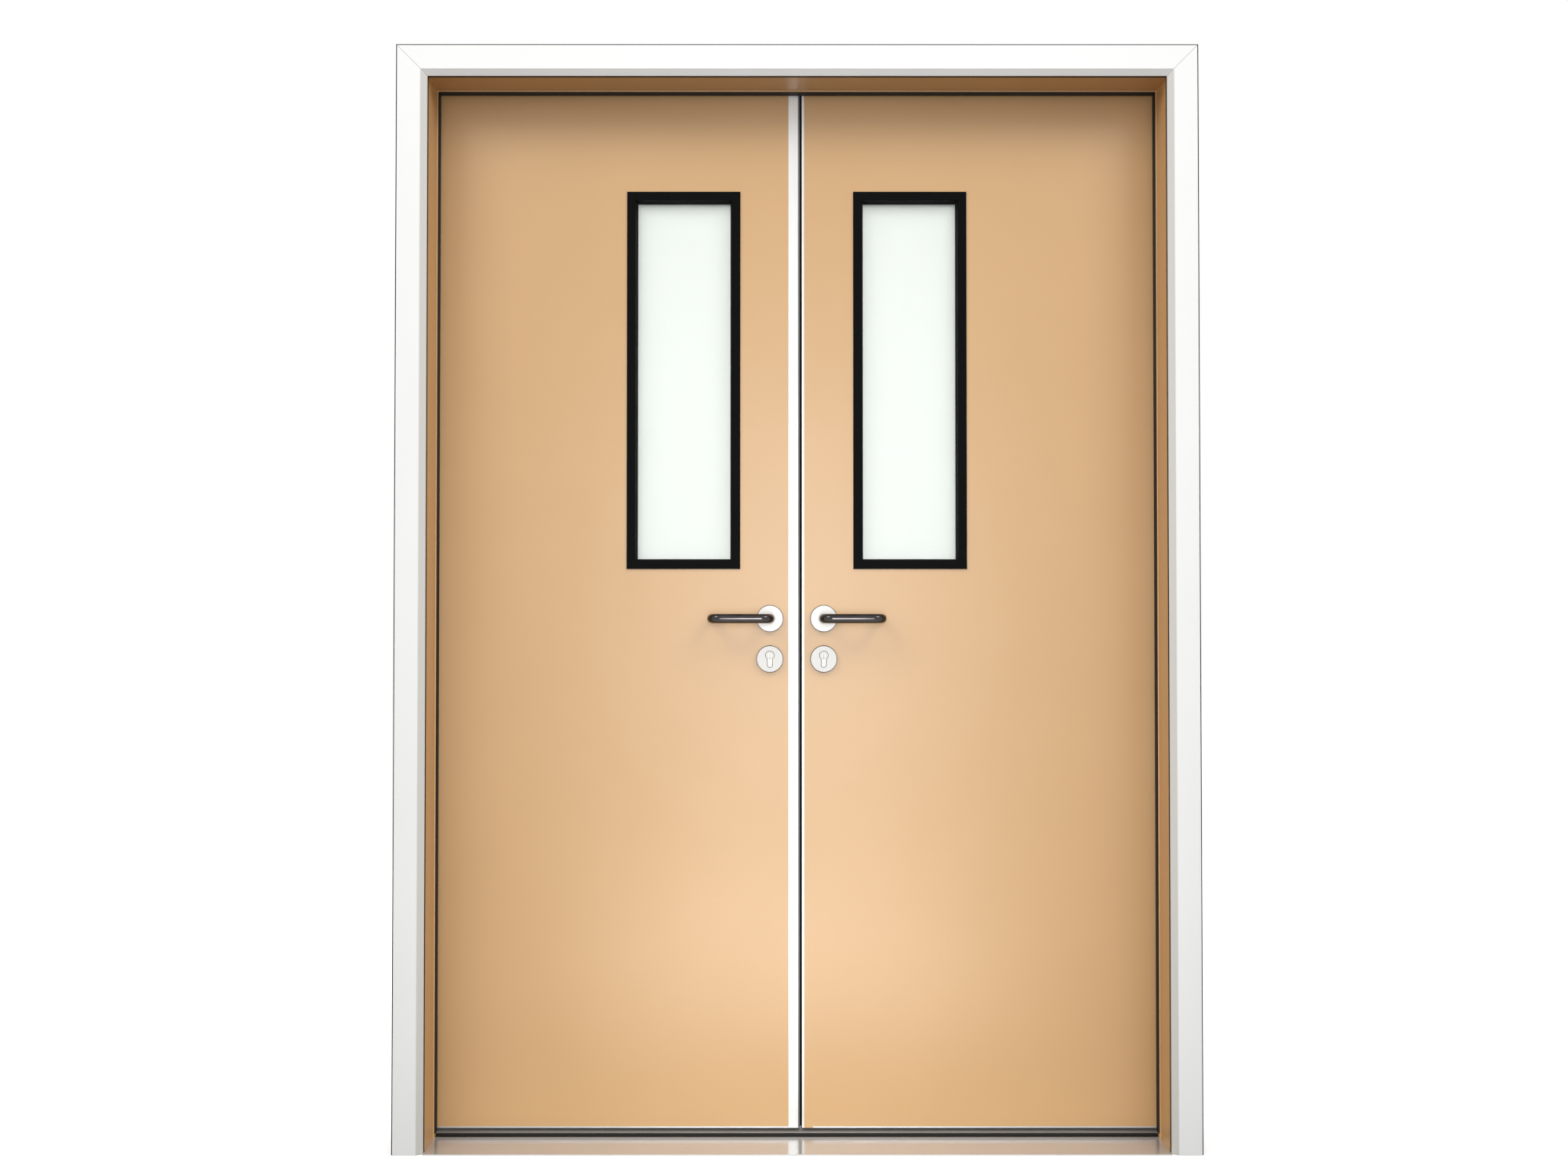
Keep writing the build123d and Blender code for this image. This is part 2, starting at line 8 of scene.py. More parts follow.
import bmesh
import bpy
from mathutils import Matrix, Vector


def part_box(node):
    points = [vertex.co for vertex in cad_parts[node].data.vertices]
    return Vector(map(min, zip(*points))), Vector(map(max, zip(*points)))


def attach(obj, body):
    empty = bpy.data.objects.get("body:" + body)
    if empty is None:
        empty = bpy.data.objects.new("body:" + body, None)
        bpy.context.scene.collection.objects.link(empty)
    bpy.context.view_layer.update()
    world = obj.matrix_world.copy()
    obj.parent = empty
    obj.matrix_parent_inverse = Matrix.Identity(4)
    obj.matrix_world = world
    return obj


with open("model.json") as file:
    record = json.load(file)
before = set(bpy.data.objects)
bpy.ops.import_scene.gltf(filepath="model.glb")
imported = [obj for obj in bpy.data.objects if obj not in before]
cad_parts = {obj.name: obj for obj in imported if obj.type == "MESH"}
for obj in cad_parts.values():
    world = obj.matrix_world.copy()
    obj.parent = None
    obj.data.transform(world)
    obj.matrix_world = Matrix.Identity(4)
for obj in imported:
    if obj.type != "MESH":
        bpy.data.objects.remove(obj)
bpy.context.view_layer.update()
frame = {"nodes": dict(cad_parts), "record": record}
nodes = frame["nodes"]

MM = 0.001
SIDES = (("left", -1), ("right", 1))

# Camera, fitted to the photograph's 2000 x 1496 frame: focal length in its pixels, and
# angles in radians
PHOTO_WIDTH = 2000
PHOTO_FOCAL = 1993.0
SENSOR_WIDTH = 36.0
CAMERA_PLACE = (-0.0276, -3.1806, 1.0641)
CAMERA_PITCH_UP = 0.0181
CAMERA_TURN = -0.0004

# Threshold: tops of its plate and of its bar
PLATE_TOP = 2.0 * MM
BAR_TOP = 10.0 * MM

# Front casings: outer corner, front face, and the flat face's width up to the bevel
CASING_X = 798.0 * MM
CASING_TOP = 2200.0 * MM
CASING_FACE = -85.0 * MM
CASING_FLAT = 47.0 * MM
BEVEL_DEPTH = 8.0 * MM
BEVEL_HALF = 752.5 * MM

# Doorway, stop and rebate: half widths and heights
CLEAR_X = 739.0 * MM
CLEAR_TOP = 2141.0 * MM
STOP_X = 736.7 * MM
STOP_TOP = 2138.7 * MM
REBATE_X = 751.7 * MM
REBATE_TOP = 2153.7 * MM

# Hinges: faces of their plates, feet of the plates, and places of the screws on them
HINGE_FRAME_X = 749.5 * MM
HINGE_LEAF_X = 748.9 * MM
HINGE_FEET = (255.0 * MM, 1046.85 * MM, 1838.7 * MM)
HINGE_SCREW_RISES = (14.0 * MM, 50.0 * MM, 86.0 * MM)
HINGE_SCREW_DEPTHS = (58.0 * MM, 74.0 * MM)
HINGE_SCREW_RADIUS = 4.2 * MM
HINGE_SCREW_PROUD = 0.2 * MM

# Lock faceplates: screws, and how far the outer ones stand from the plate's ends
PLATE_SCREW_RADIUS = 3.6 * MM
PLATE_SCREW_PROUD = 0.3 * MM
PLATE_SCREW_MARGIN = 9.0 * MM

# Lever handles and lock cylinders, with the round head and the flat web of their euro outline
LEVER_Z = 1056.4 * MM
CYLINDER_Z = 973.4 * MM
FURNITURE_X = 55.3 * MM
HEAD_Z = CYLINDER_Z + 7.5 * MM
HEAD_RADIUS = 8.5 * MM
WEB_HALF = 5.0 * MM
CYLINDER_HEIGHT = 33.0 * MM
# Black lines round the lock cylinders and their plugs: painted shade of the gaps there
GAP_SHADE_GROWS = (0.05 * MM, 1.05 * MM)
GAP_SHADE_PROUD = 0.15 * MM
PLUG_RADII = (6.2 * MM, 6.6 * MM)
PLUG_GAP_SHADE_PROUD = 0.1 * MM

# Vision panels: width of the bead's face, which ends where the gasket starts
BEAD_FACE = 18.0 * MM


def linear(colour):
    """Turns an sRGB hex colour, such as "C89E6A", into a linear RGBA tuple."""
    channels = [int(colour[start:start + 2], 16) / 255 for start in (0, 2, 4)]
    straight = [c / 12.92 if c <= 0.04045 else ((c + 0.055) / 1.055) ** 2.4 for c in channels]
    return (*straight, 1.0)


def per_metre(size_mm):
    """Texture scale for a pattern whose marks are this many millimetres apart."""
    return 1 / (size_mm * MM)


def add(tree, kind, inputs=None, **settings):
    """Adds one node with its settings; an input is a value or the socket that feeds it."""
    made = tree.nodes.new(kind)
    for name, value in settings.items():
        setattr(made, name, value)
    for name, value in (inputs or {}).items():
        if isinstance(value, bpy.types.NodeSocket):
            tree.links.new(value, made.inputs[name])
        else:
            made.inputs[name].default_value = value
    return made


def new_material(name):
    """An empty material with its output, and the place of each surface point in metres."""
    material = bpy.data.materials.new(name)
    material.use_nodes = True
    tree = material.node_tree
    tree.nodes.clear()
    output = add(tree, "ShaderNodeOutputMaterial")
    place = add(tree, "ShaderNodeTexCoord").outputs["Object"]
    return material, tree, output, place


def powder_coat(name, base, shade, roughness, specular, painted_bevel_shade=None):
    """Polyester powder coat on folded steel sheet, cured to a satin film.

    The eye sees an even colour with a fine orange peel, and very slow waves of the sheet beneath
    that bend the highlights. The peel's real 2 mm cells are drawn at 5 mm so that they show.
    The last argument gives a half width and a colour: nearer the middle of the doorway than that,
    the coat takes that grey as painted shade on the bevels beside the doorway.
    """
    material, tree, output, place = new_material(name)
    cloud = add(tree, "ShaderNodeTexNoise", {
        "Vector": place, "Scale": per_metre(180), "Detail": 3.0,
    })
    tone = add(tree, "ShaderNodeMix", {
        "Factor": cloud.outputs["Fac"], "A": linear(base), "B": linear(shade),
    }, data_type="RGBA")
    # Painted shade: grey over the bevels beside the doorway, for the shade that falls on them
    if painted_bevel_shade:
        half_width, grey = painted_bevel_shade
        mirrored = add(tree, "ShaderNodeVectorMath", {0: place}, operation="ABSOLUTE")
        apart = add(tree, "ShaderNodeSeparateXYZ", {"Vector": mirrored.outputs["Vector"]})
        unshaded = add(tree, "ShaderNodeMapRange", {
            "Value": apart.outputs["X"], "From Min": half_width - 1.5 * MM, "From Max": half_width,
        })
        tone = add(tree, "ShaderNodeMix", {
            "Factor": unshaded.outputs["Result"], "A": linear(grey), "B": tone.outputs["Result"],
        }, data_type="RGBA")
    peel = add(tree, "ShaderNodeTexNoise", {"Vector": place, "Scale": per_metre(5), "Detail": 2.0})
    wave = add(tree, "ShaderNodeTexNoise", {
        "Vector": place, "Scale": per_metre(320), "Detail": 1.0,
    })
    sheet = add(tree, "ShaderNodeBump", {
        "Height": wave.outputs["Fac"], "Strength": 1.0, "Distance": 0.4 * MM,
    })
    film = add(tree, "ShaderNodeBump", {
        "Height": peel.outputs["Fac"], "Normal": sheet.outputs["Normal"], "Strength": 0.6,
        "Distance": 0.05 * MM,
    })
    gloss = add(tree, "ShaderNodeMapRange", {
        "Value": peel.outputs["Fac"], "To Min": roughness - 0.04, "To Max": roughness + 0.04,
    })
    shader = add(tree, "ShaderNodeBsdfPrincipled", {
        "Base Color": tone.outputs["Result"], "Roughness": gloss.outputs["Result"],
        "Normal": film.outputs["Normal"], "IOR": 1.5, "Specular IOR Level": specular,
    })
    tree.links.new(shader.outputs["BSDF"], output.inputs["Surface"])
    return material


def extruded_rubber(name, base, shade):
    """Extruded EPDM or a drawn bead of sealant: dull and dusty, with a grit of 0.6 mm."""
    material, tree, output, place = new_material(name)
    dust = add(tree, "ShaderNodeTexNoise", {
        "Vector": place, "Scale": per_metre(12), "Detail": 4.0,
    })
    tone = add(tree, "ShaderNodeMix", {
        "Factor": dust.outputs["Fac"], "A": linear(base), "B": linear(shade),
    }, data_type="RGBA")
    grit = add(tree, "ShaderNodeTexNoise", {
        "Vector": place, "Scale": per_metre(0.6), "Detail": 2.0,
    })
    bump = add(tree, "ShaderNodeBump", {
        "Height": grit.outputs["Fac"], "Strength": 0.5, "Distance": 0.03 * MM,
    })
    shader = add(tree, "ShaderNodeBsdfPrincipled", {
        "Base Color": tone.outputs["Result"], "Roughness": 0.72, "IOR": 1.5,
        "Specular IOR Level": 0.3, "Normal": bump.outputs["Normal"],
    })
    tree.links.new(shader.outputs["BSDF"], output.inputs["Surface"])
    return material


def brushed_metal(name, base, shade, roughness, stretch, line_mm, metallic=1.0):
    """Metal brushed with a belt: fine scratches run one way and spread the highlight across them.

    stretch squeezes the scratches' pattern on X, Y and Z, small along the brushing. The real
    0.2 mm lines are drawn at line_mm so that they show. A metallic below 1 stands for a film of
    floor dirt, which greys what the metal mirrors.
    """
    material, tree, output, place = new_material(name)
    along = add(tree, "ShaderNodeMapping", {"Vector": place, "Scale": stretch})
    lines = add(tree, "ShaderNodeTexNoise", {
        "Vector": along.outputs["Vector"], "Scale": per_metre(line_mm), "Detail": 4.0,
    })
    tone = add(tree, "ShaderNodeMix", {
        "Factor": lines.outputs["Fac"], "A": linear(base), "B": linear(shade),
    }, data_type="RGBA")
    smear = add(tree, "ShaderNodeTexNoise", {
        "Vector": place, "Scale": per_metre(60), "Detail": 3.0,
    })
    gloss = add(tree, "ShaderNodeMapRange", {
        "Value": smear.outputs["Fac"], "To Min": roughness - 0.06, "To Max": roughness + 0.06,
    })
    bump = add(tree, "ShaderNodeBump", {
        "Height": lines.outputs["Fac"], "Strength": 0.5, "Distance": 0.02 * MM,
    })
    shader = add(tree, "ShaderNodeBsdfPrincipled", {
        "Base Color": tone.outputs["Result"], "Metallic": metallic,
        "Roughness": gloss.outputs["Result"], "Normal": bump.outputs["Normal"],
    })
    tree.links.new(shader.outputs["BSDF"], output.inputs["Surface"])
    return material


def spun_aluminium(name, centre, base, shade):
    """Anodised aluminium disc, turned on a lathe and etched: pale, satin, with rings round centre.

    The left and right discs lie at mirrored places, so the rings are measured from the mirrored
    place of the point. The tool's 0.15 mm feed is drawn at 0.8 mm so that it shows. Near the rim
    the disc is painted dark: a painted shade of its edge.
    """
    unshaded_until = 26.2 * MM
    painted_shade_from = 26.6 * MM
    material, tree, output, place = new_material(name)
    mirrored = add(tree, "ShaderNodeVectorMath", {0: place}, operation="ABSOLUTE")
    flat = add(tree, "ShaderNodeVectorMath", {
        0: mirrored.outputs["Vector"], 1: (1.0, 0.0, 1.0),
    }, operation="MULTIPLY")
    reach = add(tree, "ShaderNodeVectorMath", {
        0: flat.outputs["Vector"], 1: (centre[0], 0.0, centre[1]),
    }, operation="DISTANCE")
    rings = add(tree, "ShaderNodeTexNoise", {
        "W": reach.outputs["Value"], "Scale": per_metre(0.8), "Detail": 2.0,
    }, noise_dimensions="1D")
    tone = add(tree, "ShaderNodeMix", {
        "Factor": rings.outputs["Fac"], "A": linear(base), "B": linear(shade),
    }, data_type="RGBA")
    # Painted shade: a dark band at the disc's edge
    rim = add(tree, "ShaderNodeMapRange", {
        "Value": reach.outputs["Value"], "From Min": unshaded_until, "From Max": painted_shade_from,
    })
    tone = add(tree, "ShaderNodeMix", {
        "Factor": rim.outputs["Result"], "A": tone.outputs["Result"], "B": linear("4A4846"),
    }, data_type="RGBA")
    bump = add(tree, "ShaderNodeBump", {
        "Height": rings.outputs["Fac"], "Strength": 0.5, "Distance": 0.03 * MM,
    })
    shader = add(tree, "ShaderNodeBsdfPrincipled", {
        "Base Color": tone.outputs["Result"], "Metallic": 1.0, "Roughness": 0.55,
        "Normal": bump.outputs["Normal"],
    })
    tree.links.new(shader.outputs["BSDF"], output.inputs["Surface"])
    return material


def dark_chrome(name):
    """Black chrome plate on a polished tube: nearly black, with a hard white line of the lamp.

    Handling leaves faint smears that dull it a little.
    """
    material, tree, output, place = new_material(name)
    smear = add(tree, "ShaderNodeTexNoise", {
        "Vector": place, "Scale": per_metre(25), "Detail": 4.0,
    })
    gloss = add(tree, "ShaderNodeMapRange", {
        "Value": smear.outputs["Fac"], "To Min": 0.06, "To Max": 0.14,
    })
    tone = add(tree, "ShaderNodeMix", {
        "Factor": smear.outputs["Fac"], "A": linear("4C4846"), "B": linear("3F3D40"),
    }, data_type="RGBA")
    shader = add(tree, "ShaderNodeBsdfPrincipled", {
        "Base Color": tone.outputs["Result"], "Metallic": 1.0,
        "Roughness": gloss.outputs["Result"],
    })
    tree.links.new(shader.outputs["BSDF"], output.inputs["Surface"])
    return material


def hot_dip_zinc(name):
    """Hot dip galvanised steel: pale grey crystals of about 8 mm, each with its own tone."""
    material, tree, output, place = new_material(name)
    crystal = add(tree, "ShaderNodeTexVoronoi", {"Vector": place, "Scale": per_metre(8)})
    tone = add(tree, "ShaderNodeMix", {
        "Factor": crystal.outputs["Color"], "A": linear("B9BCBE"), "B": linear("94989B"),
    }, data_type="RGBA")
    gloss = add(tree, "ShaderNodeMapRange", {
        "Value": crystal.outputs["Color"], "To Min": 0.35, "To Max": 0.55,
    })
    shader = add(tree, "ShaderNodeBsdfPrincipled", {
        "Base Color": tone.outputs["Result"], "Metallic": 1.0,
        "Roughness": gloss.outputs["Result"],
    })
    tree.links.new(shader.outputs["BSDF"], output.inputs["Surface"])
    return material


def etched_glass(name):
    """Fire rated glass with an acid etched face: a milky, faintly green pane that glows evenly.

    The etch's grain of about 0.3 mm is drawn at 1 mm so that it shows.
    """
    material, tree, output, place = new_material(name)
    etch = add(tree, "ShaderNodeTexNoise", {"Vector": place, "Scale": per_metre(1), "Detail": 2.0})
    gloss = add(tree, "ShaderNodeMapRange", {
        "Value": etch.outputs["Fac"], "To Min": 0.5, "To Max": 0.6,
    })
    bump = add(tree, "ShaderNodeBump", {
        "Height": etch.outputs["Fac"], "Strength": 0.4, "Distance": 0.02 * MM,
    })
    shader = add(tree, "ShaderNodeBsdfPrincipled", {
        "Base Color": linear("E1E6E1"), "Roughness": gloss.outputs["Result"], "IOR": 1.5,
        "Specular IOR Level": 0.2, "Transmission Weight": 0.6, "Normal": bump.outputs["Normal"],
    })
    tree.links.new(shader.outputs["BSDF"], output.inputs["Surface"])
    return material


# Directions of brushing, as the stretch of the scratches' pattern
UPRIGHT = (1, 1, 0.01)
LEVEL = (0.01, 1, 1)
NO_GRAIN = (1, 1, 1)

finishes = {
    "white_enamel": powder_coat("white_powder_coat", "F0F0EF", "ECECEA", 0.45, 0.3),
    "tan_enamel": powder_coat("tan_powder_coat", "C89E6A", "C39964", 0.4, 0.9),
    "black_enamel": powder_coat("black_powder_coat", "050506", "09090A", 0.6, 0.05),
    "black_rubber": extruded_rubber("black_rubber_strip", "100E0C", "1A1714"),
    "satin_aluminium": brushed_metal("brushed_aluminium", "D2D2D1", "C6C6C5", 0.5, UPRIGHT, 1.2),
    "satin_steel": brushed_metal("brushed_steel", "C9C7C3", "B4B2AE", 0.38, (1, 1, 0.02), 1.0),
    "polished_steel": brushed_metal(
        "trodden_steel", "D8D8D8", "CACAC9", 0.17, LEVEL, 1.5, metallic=0.55
    ),
    "zinc_steel": hot_dip_zinc("hot_dip_zinc"),
    "dark_chrome": dark_chrome("black_chrome"),
    "frosted_glass": etched_glass("etched_glass"),
}

# Finishes of single nodes and pieces, which differ a little from their slot's.
# White coat of the front casings, with painted shade: grey on the bevels beside the doorway
white_painted_bevel_shade = powder_coat(
    "white_powder_coat_painted_bevel_shade", "F0F0EF", "ECECEA", 0.45, 0.3, (BEVEL_HALF, "CFCDC8")
)
# Turned discs round levers and locks: pale, with fine rings and a dark edge of painted shade
spun_rose = spun_aluminium("spun_rose", (FURNITURE_X, LEVER_Z), "C9C8C6", "BFBDBA")
# Painted shade: the escutcheons are toned darker than the roses, though of the same metal, where
# the lamps light them more
spun_escutcheon = spun_aluminium("spun_escutcheon", (FURNITURE_X, CYLINDER_Z), "B5B4B2", "ACABA8")
# Sealant in the mitres: a dull grey hairline on the white casings
mitre_caulk = extruded_rubber("mitre_caulk", "BEBDB9", "ACABA7")
# Nickel of the lock cylinders: duller than the discs, with no direction of brushing
turned_nickel = brushed_metal("turned_nickel", "AFAEAB", "A4A29F", 0.5, NO_GRAIN, 1.0)
# Drawn steel of the threshold bar: greyed by shoes, with a soft sheen along it
drawn_bar = brushed_metal("drawn_bar", "807C78", "736F6B", 0.42, LEVEL, 1.5, metallic=0.4)
# Steel of the meeting edge's trim, toned dark grey beside the light flange: painted shade of its
# rounded edge
painted_shade_trim = brushed_metal("painted_shade_trim", "777776", "6C6C6B", 0.5, UPRIGHT, 1.0)


def give(piece, material):
    """Sets one material on a whole piece."""
    piece.data.materials.clear()
    piece.data.materials.append(material)


def finish_nodes():
    """Gives each solid of the frame its finish."""
    for row in frame["record"]["subparts"]:
        give(nodes[row["node"]], finishes[row["material_slot"]])
    give(nodes["threshold_bar"], drawn_bar)
    for side, _ in SIDES:
        give(nodes[f"front_casing_{side}"], white_painted_bevel_shade)
        give(nodes[f"{side}_lever_roses"], spun_rose)
        give(nodes[f"{side}_lock_escutcheons"], spun_escutcheon)
        give(nodes[f"{side}_lock_cylinder"], turned_nickel)


def mesh_piece(name, corners, faces, body, slot_name):
    """Makes a piece from points in metres, and lets it ride on its body."""
    data = bpy.data.meshes.new(name)
    data.from_pydata([tuple(corner) for corner in corners], [], faces)
    data.validate()
    builder = bmesh.new()
    builder.from_mesh(data)
    bmesh.ops.recalc_face_normals(builder, faces=builder.faces)
    builder.to_mesh(data)
    builder.free()
    piece = bpy.data.objects.new(name, data)
    bpy.context.collection.objects.link(piece)
    give(piece, finishes[slot_name])
    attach(piece, body)
    return piece


def sweep(stations, first=0, closed=False, start_cap=True):
    """Points and faces of a section that runs through its stations, which list the same corners.

    first is the number of points that the piece has already. A closed sweep runs back to its
    first station; any other has a cap on its last station, and on its first with start_cap.
    """
    count = len(stations[0])
    points = [point for station in stations for point in station]
    faces = []
    for station in range(len(stations) if closed else len(stations) - 1):
        low = first + station * count
        high = first + (station + 1) % len(stations) * count
        for corner in range(count):
            beyond = (corner + 1) % count
            faces.append((low + corner, low + beyond, high + beyond, high + corner))
    if not closed:
        last = first + (len(stations) - 1) * count
        if start_cap:
            faces.append(tuple(range(first, first + count)))
        faces.append(tuple(range(last, last + count)))
    return points, faces


def glazing_gaskets():
    """Rubber wedges between each bead and its glass, on both faces of the pane."""
    outline = ((0.0, 0.3), (0.0, 2.6), (1.2, 3.0), (2.4, 1.8), (3.0, 0.05))
    for side, _ in SIDES:
        glass_low, glass_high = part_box(f"{side}_vision_glass")
        bead_low, bead_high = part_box(f"{side}_vision_bead_front")
        for word, face_y, away in (("front", glass_low.y, -1), ("rear", glass_high.y, 1)):
            stations = []
            for right, up in ((-1, -1), (1, -1), (1, 1), (-1, 1)):
                edge_x = bead_low.x + BEAD_FACE if right < 0 else bead_high.x - BEAD_FACE
                edge_z = bead_low.z + BEAD_FACE if up < 0 else bead_high.z - BEAD_FACE
                stations.append([(
                    edge_x - right * inset * MM,
                    face_y + away * rise * MM,
                    edge_z - up * inset * MM,
                ) for inset, rise in outline])
            points, faces = sweep(stations, closed=True)
            name = f"{side}_glazing_gasket_{word}"
            mesh_piece(name, points, faces, f"{side}_leaf", "black_rubber")


def meeting_seal():
    """Rubber fin that closes the gap between the leaves, clipped to the left leaf's edge."""
    low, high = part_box("left_meeting_profile")
    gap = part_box("right_meeting_profile")[0].x - high.x
    start_y = low.y + 5 * MM
    end_setback = 2 * MM
    # Share of the gap that the fin fills, and place through the leaf in mm
    outline = (
        (0.0, 0.0), (0.3, 0.0), (0.45, 3.5), (0.9, 5.0), (0.94, 6.0), (0.9, 7.0), (0.45, 8.5),
        (0.3, 12.0), (0.0, 12.0),
    )
    points, faces = sweep([
        [(high.x + share * gap, start_y + back * MM, z) for share, back in outline]
        for z in (low.z + end_setback, high.z - end_setback)
    ])
    mesh_piece("meeting_seal", points, faces, "left_leaf", "black_rubber")


def frame_loop(name, profile, half_width, height, bottom):
    """Rubber section run up one jamb, along the head and down the other, mitred at the corners.

    profile gives its corners in mm: how far it stands into the doorway, and its place through the
    wall. half_width and height are those of the faces that it is stuck to.
    """
    points, faces = sweep([
        [(
            side_x * (half_width - proud * MM),
            depth * MM,
            height - proud * MM if at_top else bottom,
        ) for proud, depth in profile]
        for side_x, at_top in ((-1, False), (-1, True), (1, True), (1, False))
    ])
    mesh_piece(name, points, faces, "frame", "black_rubber")


def frame_seals():
    """Seals of the frame: intumescent strip, black rubber over the stop that is partly a seal and
    partly painted shade, and a black line in the joint that is painted shade of that gap.
    """
    frame_loop(
        "intumescent_strip",
        ((0.0, 37.0), (1.0, 37.0), (1.2, 37.3), (1.2, 46.7), (1.0, 47.0), (0.0, 47.0)),
        REBATE_X, REBATE_TOP, BAR_TOP,
    )
    # Black rubber over the stop: a seal, widened as painted shade of the stop's underside and the
    # gap by the leaf
    frame_loop(
        "stop_cover_seal",
        (
            (0.0, 12.8), (0.8, 13.1), (1.2, 14.6), (1.4, 24.0), (1.7, 28.0), (1.7, 31.5),
            (0.0, 31.5),
        ),
        STOP_X, STOP_TOP, BAR_TOP,
    )
    # Black line in the joint behind the bevel: painted shade of that gap
    frame_loop(
        "joint_gap_shade",
        ((-0.7, -74.3), (0.5, -74.3), (1.1, -73.2), (1.1, -70.0), (0.5, -68.8), (-0.7, -68.8)),
        CLEAR_X, CLEAR_TOP, PLATE_TOP,
    )


def mitre_sealant():
    """Hairline of sealant in the mitred corners of the front casings, down over their bevel."""
    half_bead = 0.5 * MM
    film = 0.05 * MM
    fillet = 0.3 * MM
    places = (
        (CASING_X, CASING_FACE, CASING_TOP, film),
        (CASING_X - CASING_FLAT, CASING_FACE, CASING_TOP - CASING_FLAT, film),
        (CLEAR_X, CASING_FACE + BEVEL_DEPTH, CLEAR_TOP, fillet),
    )
    corners = []
    faces = []
    for _, sign in SIDES:
        across = Vector((sign, 0, -1)).normalized() * half_bead
        stations = []
        for x, y, z, proud in places:
            middle = Vector((sign * x, y, z))
            lifted = middle - Vector((0, proud, 0))
            stations.append([middle - across, lifted - across, lifted + across, middle + across])
        more_corners, more_faces = sweep(stations, first=len(corners))
        corners += more_corners
        faces += more_faces
    bead = mesh_piece("mitre_sealant", corners, faces, "frame", "white_enamel")
    give(bead, mitre_caulk)


def threshold_wiper():
    """Rubber wiper along the foot of the threshold bar, in front of its gasket; its thin flat lip
    on the plate is painted shade of the bar's foot.
    """
    low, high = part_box("threshold_gasket")
    end_setback = 0.2 * MM
    # The flat lip over the plate, up to 7.2 mm ahead, is black as painted shade at the bar's foot
    # Place ahead of the gasket, and height above the plate, in mm
    profile = (
        (0.0, 0.0), (-7.0, 0.0), (-7.2, 0.4), (-2.4, 0.9), (-1.6, 3.8), (-0.6, 5.0), (0.0, 5.0),
    )
    points, faces = sweep([
        [(x, low.y + ahead * MM, low.z + rise * MM) for ahead, rise in profile]
        for x in (low.x + end_setback, high.x - end_setback)
    ])
    mesh_piece("threshold_wiper", points, faces, "frame", "black_rubber")


def meeting_trim():
    """Slim rolled trim along the left leaf's meeting edge, toned darker than its flange as painted
    shade of the rounded edge.
    """
    low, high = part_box("left_meeting_profile")
    # Place beside the flange's edge, and behind its face, in mm
    profile = (
        (-3.0, 0.05), (-2.8, -0.35), (-2.0, -0.6), (-0.6, -0.6), (0.2, -0.3), (0.4, 0.4),
        (0.0, 1.5),
    )
    points, faces = sweep([
        [(high.x + aside * MM, low.y + back * MM, z) for aside, back in profile]
        for z in (low.z, high.z)
    ])
    trim = mesh_piece("meeting_edge_trim", points, faces, "left_leaf", "satin_steel")
    give(trim, painted_shade_trim)


def screws(name, centres, out, radius, proud, body):
    """Countersunk screws with a hexagon socket, let in flush: only their heads' faces show.

    out points away from the surface; the heads are low domes and their sockets have sloped walls.
    """
    out = Vector(out)
    across = out.orthogonal().normalized()
    along = out.cross(across)
    sides = 24
    sixth = math.pi / 3
    # Share of the radius, share of the dome's height, and whether the ring is a hexagon
    rings = ((1.0, 0.0, False), (0.94, 0.7, False), (0.5, 1.0, True), (0.42, 0.1, True))
    corners = []
    faces = []
    for centre in centres:
        stations = []
        for share, rise, socket in rings:
            station = []
            for step in range(sides):
                angle = 2 * math.pi * step / sides
                reach = share * radius
                if socket:
                    turned = (angle + sixth / 2) % sixth - sixth / 2
                    reach /= math.cos(turned)
                spread = across * math.cos(angle) + along * math.sin(angle)
                station.append(Vector(centre) + spread * reach + out * rise * proud)
            stations.append(station)
        more_corners, more_faces = sweep(stations, first=len(corners), start_cap=False)
        corners += more_corners
        faces += more_faces
    mesh_piece(name, corners, faces, body, "satin_steel")


def raised_line(name, inner, outer, away, proud, body):
    """Thin black line round a closed outline, from its inner to its outer points: painted shade of
    a gap.

    away is the side of the leaf on which it stands, -1 for the front and 1 for the rear.
    """
    rise = Vector((0, away * proud, 0))
    low_inner = [Vector(point) for point in inner]
    low_outer = [Vector(point) for point in outer]
    points, faces = sweep([
        low_inner,
        [point + rise for point in low_inner],
        [point + rise for point in low_outer],
        low_outer,
    ], closed=True)
    mesh_piece(name, points, faces, body, "black_rubber")


def key_outline(centre_x, y, grow):
    """Points of the lock cylinder's euro outline at depth y, larger all round by grow."""
    radius = HEAD_RADIUS + grow
    web = WEB_HALF + grow
    foot_z = HEAD_Z + HEAD_RADIUS - CYLINDER_HEIGHT + WEB_HALF
    start = math.asin(web / radius)
    head_steps = 32
    foot_steps = 12
    points = []
    for step in range(head_steps + 1):
        angle = -math.pi / 2 - start - step / head_steps * (2 * math.pi - 2 * start)
        points.append((centre_x + radius * math.cos(angle), y, HEAD_Z + radius * math.sin(angle)))
    for step in range(foot_steps + 1):
        angle = -step / foot_steps * math.pi
        points.append((centre_x + web * math.cos(angle), y, foot_z + web * math.sin(angle)))
    return points


def circle(centre_x, y, centre_z, radius):
    """Points of a circle at depth y."""
    steps = 40
    turns = [2 * math.pi * step / steps for step in range(steps)]
    return [
        (centre_x + radius * math.cos(turn), y, centre_z + radius * math.sin(turn))
        for turn in turns
    ]


